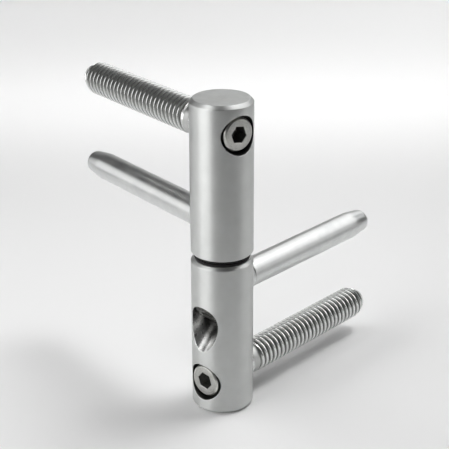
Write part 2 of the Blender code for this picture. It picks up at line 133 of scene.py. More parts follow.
# Rolled thread
THREAD_PITCH = 1.7 * MM
THREAD_DEPTH = 0.7 * MM
THREAD_START = 9.9 * MM
THREAD_FADE = 2.2 * MM
THREAD_SIDES = 72
THREAD_ROWS = 12
CREST_SHARE = 0.22
ROOT_SHARE = 0.2
SCREW_TIP_LENGTH = 3.4 * MM
SCREW_TIP_RADIUS = 3.3 * MM
SCREW_TIP_ROUND = 0.8 * MM
SCREW_TIP_BEVEL = 0.25 * MM
SCREW_TIP_CURVE = 0.3 * MM
TIP_FADE = 0.9 * MM
WELD_DISTANCE = 0.0005 * MM

# Guide pins
GUIDE_NECK_START = 8.9 * MM
GUIDE_NECK_WIDTH = 0.5 * MM
GUIDE_NECK_DEPTH = 0.2 * MM
GUIDE_TAPER_LENGTH = 6.0 * MM
GUIDE_TAPER_ROUND = 1.0 * MM
GUIDE_TIP_RADIUS = 3.1 * MM
GUIDE_TIP_ROUND = 0.9 * MM
GUIDE_TIP_CURVE = 0.2 * MM
GUIDE_SHOULDER_IN = 0.15 * MM
GUIDE_SHOULDER_BACK = 0.35 * MM
GUIDE_SHOULDER_CURVE = 0.3 * MM
GUIDE_END_CURVE = 0.4 * MM

# Looks: what a noise mostly stays between, and the marks of turning and facing to the metre
NOISE_LOW = 0.3
NOISE_HIGH = 0.7
TURNING_STRETCH = (20.0, 20.0, 5200.0)
GRINDING_STRETCH = (30.0, 30.0, 6000.0)
FACING_MARKS = 4200.0
BRUSHING = 0.7
QUARTER_TURN = 0.25
# A warm grey's blue, as a share of its red and green
WARM_GREY_BLUE = 0.95

# The sweep of paper behind and under the hinge
SWEEP_FRONT = 1.2
SWEEP_BACK = 1.0
SWEEP_CURVE = 0.25
SWEEP_HEIGHT = 0.5
SWEEP_HALF_WIDTH = 1.4
SWEEP_STEPS = 12
SWEEP_DROP = 0.05 * MM
PAPER_GREY = 0.92
PAPER_ROUGHNESS = 0.9

# The studio: a faint even light, and the point that the hinge's own lamps are aimed at
STUDIO_GREY = 0.06
HINGE_MIDDLE = (0.0, 0.0, 0.045)

# Camera, from the photograph's outlines
CAMERA_PLACE = (200.07 * MM, -221.72 * MM, 174.51 * MM)
CAMERA_HEADING = math.radians(131.94)
CAMERA_PITCH = math.radians(22.55)
CAMERA_ROLL = math.radians(-0.19)
CAMERA_LENS = 102.83
SENSOR_WIDTH = 36.0
NEAR_CLIP = 0.01
FAR_CLIP = 10.0


def joint_named(name):
    """The record's joint of that name."""
    return next(joint for joint in frame["joints"] if joint["name"] == name)


def pin_axis(half):
    """The direction in which a half's pins stand out from its barrel."""
    return Vector(joint_named(half + "_screw_turn")["axis"]).normalized()


def node_radius(node):
    """Half the width of a node that is turned about the hinge axis."""
    low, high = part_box(node)
    return 0.5 * (high.y - low.y)


def reach_of(node, axis):
    """How far a half's pin reaches along its direction from the hinge axis."""
    return max(axis.dot(vertex.co) for vertex in frame["nodes"][node].data.vertices)


def middle_height(node):
    """Half way up a node's box."""
    low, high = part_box(node)
    return 0.5 * (low.z + high.z)


FRAME_AXIS = pin_axis("frame")
LEAF_AXIS = pin_axis("leaf")
BARREL_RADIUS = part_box("frame_barrel")[1].y
FRAME_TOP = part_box("frame_barrel")[1].z
LEAF_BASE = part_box("leaf_barrel")[0].z
LEAF_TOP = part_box("leaf_barrel")[1].z
PIVOT_RADIUS = node_radius("pivot_pin")
PIVOT_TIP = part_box("pivot_pin")[0].z
PIVOT_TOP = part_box("pivot_pin")[1].z
FLANGE_RADIUS = node_radius("gap_washer")
SCREW_RADIUS = 0.5 * (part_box("frame_screw")[1].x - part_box("frame_screw")[0].x)
GUIDE_RADIUS = 0.5 * (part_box("frame_guide_pin")[1].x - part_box("frame_guide_pin")[0].x)
GUIDE_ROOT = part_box("frame_guide_pin")[0].y
BUSH_INNER = PIVOT_RADIUS + RUNNING_GAP
BUSH_OUTER = BUSH_INNER + BUSH_WALL
BUSH_BORE = BUSH_OUTER + SEAT_GAP
PIVOT_BORE = PIVOT_RADIUS + SEAT_GAP
FRAME_BUSH_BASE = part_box("frame_bush")[0].z
DISC_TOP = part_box("thrust_disc")[1].z
HEIGHT_CROSSING = PIVOT_TIP + CROSSING_OVER_TIP
PAD_FACE = CROSSING_OVER_TIP * math.sin(HEIGHT_SLOPE) + SEAT_GAP
PAD_BACK = PAD_FACE + PAD_THICKNESS
HEIGHT_SCREW_NOSE = PAD_BACK + SEAT_GAP
HEIGHT_SCREW_FACE = HEIGHT_SCREW_NOSE + HEIGHT_SCREW_LENGTH


def pin_placement(axis, height):
    """Local +Z becomes the direction of a half's pins, with the origin on the hinge axis."""
    side = Vector((0.0, 0.0, 1.0)).cross(axis)
    turn = Matrix((side, Vector((0.0, 0.0, -1.0)), axis)).transposed()
    if turn.determinant() < 0.0:
        turn = Matrix((-side, Vector((0.0, 0.0, -1.0)), axis)).transposed()
    return Matrix.Translation((0.0, 0.0, height)) @ turn.to_4x4()


def height_placement():
    """Local +Z runs out of the inclined bore, forwards and down, from its crossing of the axis."""
    turn = Matrix.Rotation(math.radians(90.0) + HEIGHT_SLOPE, 4, "X")
    return Matrix.Translation((0.0, 0.0, HEIGHT_CROSSING)) @ turn


def rounded(corners):
    """A profile with its corners rounded, from (radius, height, rounding) corners."""
    points = []
    last = len(corners) - 1
    for index, (radius, height, rounding) in enumerate(corners):
        here = Vector((radius, height))
        if rounding == 0.0 or index in (0, last):
            points.append((radius, height))
            continue
        before = Vector(corners[index - 1][:2]) - here
        after = Vector(corners[index + 1][:2]) - here
        length = min(rounding, CORNER_SHARE * before.length, CORNER_SHARE * after.length)
        start = here + before.normalized() * length
        end = here + after.normalized() * length
        for step in range(EDGE_STEPS + 1):
            share = step / EDGE_STEPS
            spot = start.lerp(here, share).lerp(here.lerp(end, share), share)
            points.append((spot.x, spot.y))
    return points


def add_ring(bm, radius, height, sides):
    """One ring of vertices, or a single vertex where the profile meets the axis."""
    if radius == 0.0:
        return [bm.verts.new((0.0, 0.0, height))]
    ring = []
    for side in range(sides):
        angle = math.tau * side / sides
        ring.append(bm.verts.new((radius * math.cos(angle), radius * math.sin(angle), height)))
    return ring


def bridge(bm, lower, upper):
    """Faces between two neighbouring rings, either of which may be a point."""
    sides = max(len(lower), len(upper))
    for side in range(sides):
        after = (side + 1) % sides
        if len(lower) == 1:
            bm.faces.new((lower[0], upper[after], upper[side]))
        elif len(upper) == 1:
            bm.faces.new((lower[side], lower[after], upper[0]))
        else:
            bm.faces.new((lower[side], lower[after], upper[after], upper[side]))


def add_rings(bm, profile, sides):
    """Rings from (radius, height) points, each joined to the one before."""
    rings = [add_ring(bm, radius, height, sides) for radius, height in profile]
    for lower, upper in zip(rings, rings[1:]):
        bridge(bm, lower, upper)
    return rings


def finished_mesh(name, bm):
    """A mesh with its normals outwards, from a bmesh that is then freed."""
    bmesh.ops.recalc_face_normals(bm, faces=bm.faces)
    mesh = bpy.data.meshes.new(name)
    bm.to_mesh(mesh)
    bm.free()
    return mesh


def turned(name, profile, sides):
    """A turned mesh from (radius, height) points. An open profile closes as a hollow ring."""
    bm = bmesh.new()
    rings = add_rings(bm, profile, sides)
    if profile[0][0] > 0.0:
        bridge(bm, rings[-1], rings[0])
    return finished_mesh(name, bm)


def add_object(name, mesh, placement):
    """Link a mesh as an object with its place in its vertices."""
    mesh.transform(placement)
    made = bpy.data.objects.new(name, mesh)
    bpy.context.scene.collection.objects.link(made)
    return made


def subtract(target, cutters):
    """Cut a list of meshes out of an object, and remove them."""
    for cutter in cutters:
        boolean = target.modifiers.new(cutter.name, "BOOLEAN")
        boolean.operation = "DIFFERENCE"
        boolean.solver = "EXACT"
        boolean.object = cutter
    bpy.context.view_layer.update()
    evaluated = target.evaluated_get(bpy.context.evaluated_depsgraph_get())
    mesh = bpy.data.meshes.new_from_object(evaluated)
    target.modifiers.clear()
    target.data = mesh
    for cutter in cutters:
        bpy.data.objects.remove(cutter, do_unlink=True)


def paint(obj, looks, kind):
    """Several materials on a piece, by the kind that a test gives each face."""
    mesh = obj.data
    mesh.materials.clear()
    for look in looks:
        mesh.materials.append(look)
    for polygon in mesh.polygons:
        polygon.material_index = kind(polygon)


def finish_piece(obj, body, node, look=None):
    """Smooth shading with true flats, the material, and the ties to the frame."""
    mesh = obj.data
    if look:
        mesh.materials.clear()
        mesh.materials.append(look)
    mesh.shade_smooth()
    mesh.set_sharp_from_angle(angle=SHARP_ANGLE)
    weighted = obj.modifiers.new("weighted_normals", "WEIGHTED_NORMAL")
    weighted.keep_sharp = True
    weighted.weight = LARGE_FACES_WEIGHT
    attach(obj, body)
    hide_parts(node)
    return obj


def mouth_curve(radius, placement, start):
    """Points where a bore of that radius leaves the barrel, with both surfaces' normals.

    Along the bore, the search runs outwards from start to the barrel's outer wall.
    """
    turn = placement.to_3x3()
    centre = placement.translation
    along = turn @ Vector((0.0, 0.0, math.copysign(1.0, start)))
    points = []
    for side in range(BORE_SIDES):
        angle = math.tau * side / BORE_SIDES
        offset = turn @ Vector((radius * math.cos(angle), radius * math.sin(angle), 0.0))
        foot = centre + offset
        a = along.x ** 2 + along.y ** 2
        b = foot.x * along.x + foot.y * along.y
        c = foot.x ** 2 + foot.y ** 2 - BARREL_RADIUS ** 2
        distance = (-b + math.sqrt(b * b - a * c)) / a
        spot = foot + along * distance
        outside = Vector((spot.x, spot.y, 0.0)).normalized()
        inwards = -offset.normalized()
        points.append((spot, outside, inwards))
    return points


def edge_section(bm, points, index, rounding):
    """One section of an edge cutter: the rounded edge inside, and three corners in the open."""
    spot, outside, inwards = points[index]
    ahead = points[(index + 1) % len(points)][0]
    behind = points[index - 1][0]
    edge = (ahead - behind).normalized()
    on_wall = edge.cross(inwards).normalized()
    on_skin = edge.cross(outside).normalized()
    if on_wall.dot(outside) > 0.0:
        on_wall.negate()
    if on_skin.dot(inwards) > 0.0:
        on_skin.negate()
    first = spot + on_skin * rounding + outside * EDGE_CUTTER_LIFT
    last = spot + on_wall * rounding + inwards * EDGE_CUTTER_LIFT
    section = []
    for step in range(EDGE_STEPS + 1):
        share = step / EDGE_STEPS
        curve = first.lerp(spot, share).lerp(spot.lerp(last, share), share)
        section.append(bm.verts.new(curve))
    section.append(bm.verts.new(last + inwards * rounding))
    section.append(bm.verts.new(spot + (outside + inwards) * rounding))
    section.append(bm.verts.new(first + outside * rounding))
    return section


def edge_cutter(name, radius, placement, start, rounding):
    """A ring-shaped cutter that rounds the edge where a bore leaves the barrel."""
    points = mouth_curve(radius, placement, start)
    bm = bmesh.new()
    sections = [edge_section(bm, points, index, rounding) for index in range(len(points))]
    for index, section in enumerate(sections):
        following = sections[(index + 1) % len(sections)]
        for corner in range(len(section)):
            after = (corner + 1) % len(section)
            bm.faces.new((section[corner], section[after], following[after], following[corner]))
    return add_object(name, finished_mesh(name, bm), Matrix.Identity(4))


def screw_bore_cutters(half, screw_place, guide_place):
    """The stepped screw bore, the guide pin's blind hole and the roundings of their mouths."""
    outside = BARREL_RADIUS + OVERSHOOT
    neck_hole = SCREW_NECK_RADIUS + SEAT_GAP
    collar_hole = SCREW_RADIUS + SEAT_GAP
    collar_floor = COLLAR_START - SEAT_GAP
    stepped_bore = [
        (0.0, -outside),
        (COUNTERBORE_RADIUS, -outside),
        (COUNTERBORE_RADIUS, -COUNTERBORE_FLOOR),
        (neck_hole, -COUNTERBORE_FLOOR),
        (neck_hole, collar_floor),
        (collar_hole, collar_floor),
        (collar_hole, outside),
        (0.0, outside),
    ]
    guide_radius = GUIDE_RADIUS + SEAT_GAP
    guide_hole = [
        (0.0, GUIDE_ROOT - SEAT_GAP),
        (guide_radius, GUIDE_ROOT - SEAT_GAP),
        (guide_radius, outside),
        (0.0, outside),
    ]
    return [
        add_object(half + "_screw_bore", turned("bore", stepped_bore, BORE_SIDES), screw_place),
        add_object(half + "_guide_hole", turned("bore", guide_hole, BORE_SIDES), guide_place),
        edge_cutter(half + "_head_edge", COUNTERBORE_RADIUS, screw_place, -1.0, BORE_EDGE_ROUND),
        edge_cutter(half + "_collar_edge", collar_hole, screw_place, 1.0, BORE_EDGE_ROUND),
        edge_cutter(half + "_guide_edge", guide_radius, guide_place, 1.0, BORE_EDGE_ROUND),
    ]


def height_bore_cutters():
    """The inclined bore with its wide smooth mouth, and the rounding of its edge.

    The mouth starts far enough in for its rounded edge to lie on it all the way round.
    """
    place = height_placement()
    above_axis = HEIGHT_MOUTH_RADIUS * math.sin(HEIGHT_SLOPE)
    top_edge = (BARREL_RADIUS - above_axis) / math.cos(HEIGHT_SLOPE)
    step = min(HEIGHT_SCREW_FACE - HEIGHT_SCREW_EDGE, top_edge - HEIGHT_MOUTH_ROOM)
    inner_end = PAD_FACE - HEIGHT_TRAVEL - SEAT_GAP
    outside = HEIGHT_SCREW_FACE + BARREL_RADIUS + OVERSHOOT
    bore_radius = HEIGHT_SCREW_RADIUS + SEAT_GAP
    stepped_bore = [
        (0.0, inner_end),
        (bore_radius, inner_end),
        (bore_radius, step),
        (HEIGHT_MOUTH_RADIUS, step),
        (HEIGHT_MOUTH_RADIUS, outside),
        (0.0, outside),
    ]
    return [
        add_object("height_bore", turned("bore", stepped_bore, BORE_SIDES), place),
        edge_cutter("height_edge", HEIGHT_MOUTH_RADIUS, place, 1.0, HEIGHT_MOUTH_ROUND),
    ]


def frame_barrel_profile():
    bore_floor = PIVOT_TIP - BORE_RELIEF
    return rounded([
        (0.0, 0.0, 0.0),
        (BARREL_RADIUS - END_CHAMFER, 0.0, BARREL_EDGE_ROUND),
        (BARREL_RADIUS, END_CHAMFER, BARREL_EDGE_ROUND),
        (BARREL_RADIUS, FRAME_TOP - PARTING_CHAMFER, BARREL_EDGE_ROUND),
        (BARREL_RADIUS - PARTING_CHAMFER, FRAME_TOP, BARREL_EDGE_ROUND),
        (BUSH_BORE, FRAME_TOP, BARREL_EDGE_ROUND),
        (BUSH_BORE, FRAME_BUSH_BASE - SEAT_GAP, 0.0),
        (PIVOT_BORE, FRAME_BUSH_BASE - SEAT_GAP, 0.0),
        (PIVOT_BORE, bore_floor, 0.0),
        (0.0, bore_floor - DRILL_POINT, 0.0),
    ])


def leaf_barrel_profile():
    bore_top = DISC_TOP + SEAT_GAP
    return rounded([
        (0.0, bore_top + DRILL_POINT, 0.0),
        (BUSH_BORE, bore_top, 0.0),
        (BUSH_BORE, LEAF_BASE, BARREL_EDGE_ROUND),
        (BARREL_RADIUS - LEAF_MOUTH_CHAMFER, LEAF_BASE, BARREL_EDGE_ROUND),
        (BARREL_RADIUS, LEAF_BASE + LEAF_MOUTH_CHAMFER, BARREL_EDGE_ROUND),
        (BARREL_RADIUS, LEAF_TOP - END_CHAMFER, BARREL_EDGE_ROUND),
        (BARREL_RADIUS - END_CHAMFER, LEAF_TOP, BARREL_EDGE_ROUND),
        (0.0, LEAF_TOP, 0.0),
    ])


def barrel_face_kind(low, high, place):
    """A test for a barrel's faces: 0 outside, 1 flat ends, 2 walls of bores, which carry painted shade and
    a painted highlight, 3 the counterbore, which is painted dark as shade.
    """
    to_screw = place.inverted()

    def kind(polygon):
        spot = polygon.center
        from_end = min(spot.z - low, high - spot.z)
        if from_end < FLAT_MARGIN and abs(polygon.normal.z) > END_FACE_SLOPE:
            return 1
        in_bore = to_screw @ spot
        from_screw = math.hypot(in_bore.x, in_bore.y)
        if in_bore.z < 0.0 and from_screw < COUNTERBORE_RADIUS + FLAT_MARGIN:
            return 3
        inside = math.hypot(spot.x, spot.y) < BARREL_RADIUS - SKIN_DEPTH
        return 2 if inside and from_end > END_CHAMFER else 0
    return kind


def in_socket(place, face):
    """A test that gives 1 for the faces in a key socket, which opens at that height on a screw."""
    to_screw = place.inverted()
    limit = HEX_ACROSS_FLATS / math.sqrt(3.0) + SOCKET_EDGE_ROUND

    def test(polygon):
        spot = to_screw @ polygon.center
        depth = abs(face) - abs(spot.z)
        return int(math.hypot(spot.x, spot.y) < limit and SOCKET_EDGE_ROUND < depth < SOCKET_REACH)
    return test


def fixing_screw_face_kind(place):
    """A test for a fixing screw's faces: 0 the thread, 1 inside the socket, painted dark as shade, 2 the
    head's face.
    """
    to_screw = place.inverted()
    inside = in_socket(place, -SCREW_FACE)

    def kind(polygon):
        on_head = (to_screw @ polygon.center).z < -COUNTERBORE_FLOOR
        return 1 if inside(polygon) else 2 * on_head
    return kind


def make_barrel(half, axis, profile, extra_cutters, looks):
    """One barrel, turned and bored, with rounded mouths and plain turned ends."""
    node = half + "_barrel"
    facets = Matrix.Rotation(FACET_TURN, 4, "Z")
    barrel = add_object(node + "_skin", turned(node, profile, BARREL_SIDES), facets)
    screw_place = pin_placement(axis, middle_height(half + "_screw"))
    guide_place = pin_placement(axis, middle_height(half + "_guide_pin"))
    subtract(barrel, screw_bore_cutters(half, screw_place, guide_place) + extra_cutters)
    low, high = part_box(node)
    paint(barrel, looks, barrel_face_kind(low.z, high.z, screw_place))
    return finish_piece(barrel, half + "_half", node)


def make_guide_pin(half, axis, look):
    """A smooth pin with a shallow neck outside the barrel and a tapered, rounded tip."""
    node = half + "_guide_pin"
    reach = reach_of(node, axis)
    neck_end = GUIDE_NECK_START + GUIDE_NECK_WIDTH
    neck_radius = GUIDE_RADIUS - GUIDE_NECK_DEPTH
    profile = rounded([
        (0.0, GUIDE_ROOT, 0.0),
        (neck_radius, GUIDE_ROOT, 0.0),
        (GUIDE_RADIUS, GUIDE_ROOT + GUIDE_NECK_DEPTH, 0.0),
        (GUIDE_RADIUS, GUIDE_NECK_START, FINE_ROUND),
        (neck_radius, GUIDE_NECK_START + GUIDE_NECK_DEPTH, FINE_ROUND),
        (neck_radius, neck_end - GUIDE_NECK_DEPTH, FINE_ROUND),
        (GUIDE_RADIUS, neck_end, FINE_ROUND),
        (GUIDE_RADIUS, reach - GUIDE_TAPER_LENGTH, GUIDE_TAPER_ROUND),
        (GUIDE_TIP_RADIUS, reach - GUIDE_TIP_ROUND, GUIDE_TIP_CURVE),
        (GUIDE_TIP_RADIUS - GUIDE_SHOULDER_IN, reach - GUIDE_SHOULDER_BACK, GUIDE_SHOULDER_CURVE),
        (GUIDE_TIP_RADIUS - GUIDE_TIP_ROUND, reach, GUIDE_END_CURVE),
        (0.0, reach, 0.0),
    ])
    place = pin_placement(axis, middle_height(node))
    pin = add_object(node + "_skin", turned(node, profile, PIN_SIDES), place)
    return finish_piece(pin, half + "_half", node, look)


def thread_depth(turn_share):
    """The thread's depth at a share of one pitch: 0 on the crest at its start, 1 at the root."""
    flank = 0.5 * (1.0 - CREST_SHARE - ROOT_SHARE)
    share = turn_share % 1.0
    if share < CREST_SHARE:
        depth = 0.0
    elif share < CREST_SHARE + flank:
        depth = (share - CREST_SHARE) / flank
    elif share < 1.0 - flank:
        depth = 1.0
    else:
        depth = (1.0 - share) / flank
    return depth * depth * (3.0 - 2.0 * depth)


def smoothstep(low, high, value):
    share = min(max((value - low) / (high - low), 0.0), 1.0)
    return share * share * (3.0 - 2.0 * share)


def tip_radius(height, reach):
    """The outline of the screw's pointed end."""
    start = reach - SCREW_TIP_LENGTH
    end = reach - SCREW_TIP_ROUND
    share = min(max((height - start) / (end - start), 0.0), 1.0)
    return SCREW_RADIUS + (SCREW_TIP_RADIUS - SCREW_RADIUS) * share


def thread_radius(turn, height, reach):
    """The thread's radius: it rises out of the plain shank and runs out on the screw's tip."""
    thread_end = reach - SCREW_TIP_ROUND
    fade_in = smoothstep(THREAD_START, THREAD_START + THREAD_FADE, height)
    fade_out = 1.0 - smoothstep(thread_end - TIP_FADE, thread_end, height)
    depth = THREAD_DEPTH * thread_depth(turn) * fade_out
    full = tip_radius(height, reach) - depth
    return SCREW_SHANK_RADIUS + (full - SCREW_SHANK_RADIUS) * fade_in


def thread_columns(bm, rows, reach):
    """Columns of vertices along the screw, each a step higher on the helix than the one before."""
    columns = []
    for side in range(THREAD_SIDES):
        angle = math.tau * side / THREAD_SIDES
        column = []
        for row in range(rows + 1):
            turn = row / THREAD_ROWS - 1.0
            height = THREAD_START + THREAD_PITCH * (turn + side / THREAD_SIDES)
            height = min(max(height, THREAD_START), reach - SCREW_TIP_ROUND)
            radius = thread_radius(turn, height, reach)
            spot = (radius * math.cos(angle), radius * math.sin(angle), height)
            column.append(bm.verts.new(spot))
        columns.append(column)
    return columns


def join_columns(bm, columns, rows):
    """Faces between neighbouring columns. The last joins the first, one pitch further on."""
    for side, here in enumerate(columns):
        wraps = side == THREAD_SIDES - 1
        there = columns[0] if wraps else columns[side + 1]
        shift = THREAD_ROWS if wraps else 0
        for row in range(-shift, rows):
            low = max(row, 0)
            high = max(row + 1, 0)
            low_there = min(row + shift, rows)
            high_there = min(row + 1 + shift, rows)
            corners = [here[low], there[low_there], there[high_there], here[high]]
            distinct = list(dict.fromkeys(corners))
            if len(distinct) > 2:
                bm.faces.new(distinct)


def threaded_screw(name, reach):
    """A screw with a helical thread: rings up to the thread, helical rows, then the tip's rings."""
    thread_end = reach - SCREW_TIP_ROUND
    bm = bmesh.new()
    add_rings(bm, rounded([
        (0.0, -SCREW_FACE, 0.0),
        (SCREW_NECK_RADIUS, -SCREW_FACE, SCREW_ROUND),
        (SCREW_NECK_RADIUS, COLLAR_START, 0.0),
        (SCREW_RADIUS, COLLAR_START, SCREW_ROUND),
        (SCREW_RADIUS, COLLAR_END - COLLAR_EDGE, COLLAR_ROUND),
        (SCREW_SHANK_RADIUS, COLLAR_END + COLLAR_EDGE, COLLAR_ROUND),
        (SCREW_SHANK_RADIUS, THREAD_START, 0.0),
    ]), THREAD_SIDES)
    turns = (thread_end - THREAD_START) / THREAD_PITCH
    rows = int(math.ceil((turns + 2.0) * THREAD_ROWS))
    join_columns(bm, thread_columns(bm, rows, reach), rows)
    add_rings(bm, rounded([
        (SCREW_TIP_RADIUS, thread_end, 0.0),
        (SCREW_TIP_RADIUS - SCREW_TIP_BEVEL, reach - SCREW_TIP_BEVEL, SCREW_TIP_CURVE),
        (SCREW_TIP_RADIUS - SCREW_TIP_ROUND, reach, SCREW_TIP_CURVE),
        (0.0, reach, 0.0),
    ]), THREAD_SIDES)
    bmesh.ops.remove_doubles(bm, verts=bm.verts, dist=WELD_DISTANCE)
    bmesh.ops.dissolve_degenerate(bm, edges=bm.edges, dist=WELD_DISTANCE)
    return finished_mesh(name, bm)


def mark_grooves(mesh, place, reach):
    """How deep each point lies under the thread's outline, from 0 on the crests to 1 at the roots; the
    screw's material paints shade in the roots by it.
    """
    to_screw = place.inverted()
    thread_end = reach - SCREW_TIP_ROUND
    depths = []
    for vertex in mesh.vertices:
        spot = to_screw @ vertex.co
        depth = (tip_radius(spot.z, reach) - math.hypot(spot.x, spot.y)) / THREAD_DEPTH
        depth *= spot.z < thread_end
        depths.append(min(max(depth, 0.0), 1.0))
    attribute = mesh.attributes.new("groove", "FLOAT", "POINT")
    attribute.data.foreach_set("value", depths)


def hexagon_cutter(name, face, depth, edge, placement):
    """A hexagon key's hole that opens at a face, with a bevelled mouth and a drill point."""
    corner = HEX_ACROSS_FLATS / math.sqrt(3.0)
    out = math.copysign(1.0, face)
    profile = [
        (0.0, face - out * (depth + HEX_POINT_SHARE * corner)),
        (corner, face - out * depth),
        (corner, face - out * edge),
        (corner + edge + SOCKET_CUTTER_OVERHANG, face + out * SOCKET_CUTTER_OVERHANG),
        (0.0, face + out * SOCKET_CUTTER_OVERHANG),
    ]
    if out < 0.0:
        profile.reverse()
    mesh = turned(name, profile, sides=6)
    mesh.transform(Matrix.Rotation(HEX_TURN, 4, "Z"))
    return add_object(name, mesh, placement)


def make_fixing_screw(half, axis, looks):
    """A captive screw with its key socket, neck, collar, thread and tip."""
    node = half + "_screw"
    place = pin_placement(axis, middle_height(node))
    reach = reach_of(node, axis)
    mesh = threaded_screw(node, reach)
    screw = add_object(node + "_thread", mesh, place)
    socket = hexagon_cutter(node + "_socket", -SCREW_FACE, HEX_DEPTH, SOCKET_EDGE_ROUND, place)
    subtract(screw, [socket])
    paint(screw, looks, fixing_screw_face_kind(place))
    mark_grooves(screw.data, place, reach)
    return finish_piece(screw, half + "_fixing", node)


def make_screw_ring(half, axis, look):
    """The ring pressed on the screw's neck, in the counterbore."""
    node = half + "_screw_ring"
    inner = SCREW_NECK_RADIUS + RING_FIT
    floor = -COUNTERBORE_FLOOR - SEAT_GAP
    profile = rounded([
        (inner, -SCREW_FACE, 0.0),
        (RING_RADIUS - RING_EDGE_ROUND, -SCREW_FACE, TURNED_ROUND),
        (RING_RADIUS, -SCREW_FACE + RING_EDGE_ROUND, TURNED_ROUND),
        (RING_RADIUS, floor, 0.0),
        (inner, floor, 0.0),
    ])
    place = pin_placement(axis, middle_height(half + "_screw"))
    ring = add_object(node + "_face", turned(node, profile, SMALL_SIDES), place)
    return finish_piece(ring, half + "_fixing", node, look)


def make_height_screw(looks):
    """The short screw in the inclined bore, with a key socket outside and a pad seat inside."""
    seat = PAD_STEM_RADIUS + SEAT_GAP
    seat_floor = PAD_BACK + PAD_STEM_LENGTH + SEAT_GAP
    profile = rounded([
        (0.0, seat_floor, 0.0),
        (seat, seat_floor, 0.0),
        (seat, HEIGHT_SCREW_NOSE, TURNED_ROUND),
        (HEIGHT_SCREW_RADIUS - HEIGHT_SCREW_EDGE, HEIGHT_SCREW_NOSE, TURNED_ROUND),
        (HEIGHT_SCREW_RADIUS, HEIGHT_SCREW_NOSE + HEIGHT_SCREW_EDGE, TURNED_ROUND),
        (HEIGHT_SCREW_RADIUS, HEIGHT_SCREW_FACE - HEIGHT_SCREW_EDGE, TURNED_ROUND),
        (HEIGHT_SCREW_RADIUS - HEIGHT_SCREW_EDGE, HEIGHT_SCREW_FACE, TURNED_ROUND),
        (0.0, HEIGHT_SCREW_FACE, 0.0),
    ])
    place = height_placement()
    mesh = turned("height_screw", profile, SMALL_SIDES)
    screw = add_object("height_screw_face", mesh, place)
    edge = SOCKET_EDGE_ROUND
    socket = hexagon_cutter("height_socket", HEIGHT_SCREW_FACE, HEIGHT_HEX_DEPTH, edge, place)
    subtract(screw, [socket])
    paint(screw, looks, in_socket(place, HEIGHT_SCREW_FACE))
    return finish_piece(screw, "height_adjuster", "height_screw")


def make_thrust_pad(look):
    """The swivel pad in the height screw's nose."""
    profile = rounded([
        (0.0, PAD_FACE, 0.0),
        (PAD_RADIUS, PAD_FACE, PAD_ROUND),
        (PAD_RADIUS, PAD_BACK, PAD_ROUND),
        (PAD_STEM_RADIUS, PAD_BACK, 0.0),
        (PAD_STEM_RADIUS, PAD_BACK + PAD_STEM_LENGTH, TURNED_ROUND),
        (0.0, PAD_BACK + PAD_STEM_LENGTH, 0.0),
    ])
    mesh = turned("thrust_pad", profile, SMALL_SIDES)
    pad = add_object("thrust_pad_turned", mesh, height_placement())
    return finish_piece(pad, "pad", "thrust_pad", look)


def make_pivot_pin(look):
    """The ground pivot with its coned foot."""
    profile = rounded([
        (0.0, PIVOT_TIP, 0.0),
        (PIVOT_RADIUS, PIVOT_TIP + PIVOT_RADIUS / math.tan(HEIGHT_SLOPE), TURNED_ROUND),
        (PIVOT_RADIUS, PIVOT_TOP - PIVOT_CHAMFER, TURNED_ROUND),
        (PIVOT_RADIUS - PIVOT_CHAMFER, PIVOT_TOP, TURNED_ROUND),
        (0.0, PIVOT_TOP, 0.0),
    ])
    mesh = turned("pivot_pin", profile, PIN_SIDES)
    pin = add_object("pivot_pin_ground", mesh, Matrix.Identity(4))
    return finish_piece(pin, "pivot", "pivot_pin", look)


def make_axis_ring(node, body, corners, look):
    """A bush, washer or disc on the hinge axis."""
    mesh = turned(node, rounded(corners), PIN_SIDES)
    ring = add_object(node + "_turned", mesh, Matrix.Identity(4))
    return finish_piece(ring, body, node, look)


def make_bearings(nylon, bronze):
    """The black bushes and washer, and the bronze disc."""
    low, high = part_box("gap_washer")
    make_axis_ring("gap_washer", "frame_half", [
        (BUSH_INNER, low.z, 0.0),
        (FLANGE_RADIUS, low.z, FINE_ROUND),
        (FLANGE_RADIUS, high.z, FINE_ROUND),
        (BUSH_INNER, high.z, 0.0),
    ], nylon)
    low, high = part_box("frame_bush")
    make_axis_ring("frame_bush", "frame_half", [
        (BUSH_INNER, low.z, 0.0),
        (BUSH_OUTER, low.z, FINE_ROUND),
        (BUSH_OUTER, high.z, FINE_ROUND),
        (BUSH_INNER, high.z, 0.0),
    ], nylon)
    low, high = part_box("leaf_bush")
    make_axis_ring("leaf_bush", "leaf_half", [
        (BUSH_INNER, low.z, 0.0),
        (FLANGE_RADIUS, low.z, FINE_ROUND),
        (FLANGE_RADIUS, low.z + FLANGE_THICKNESS, FINE_ROUND),
        (BUSH_OUTER, low.z + FLANGE_THICKNESS, 0.0),
        (BUSH_OUTER, high.z, FINE_ROUND),
        (BUSH_INNER, high.z, 0.0),
    ], nylon)
    low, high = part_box("thrust_disc")
    make_axis_ring("thrust_disc", "leaf_half", [
        (0.0, low.z, 0.0),
        (BUSH_OUTER, low.z, FINE_ROUND),
        (BUSH_OUTER, high.z, FINE_ROUND),
        (0.0, high.z, 0.0),
    ], bronze)


def new_material(name):
    """An empty node material with its shader."""
    made = bpy.data.materials.new(name)
    made.use_nodes = True
    tree = made.node_tree
    return made, tree, tree.nodes["Principled BSDF"]


def new_metal(name):
    made, tree, shader = new_material(name)
    shader.inputs["Metallic"].default_value = 1.0
    return made, tree, shader


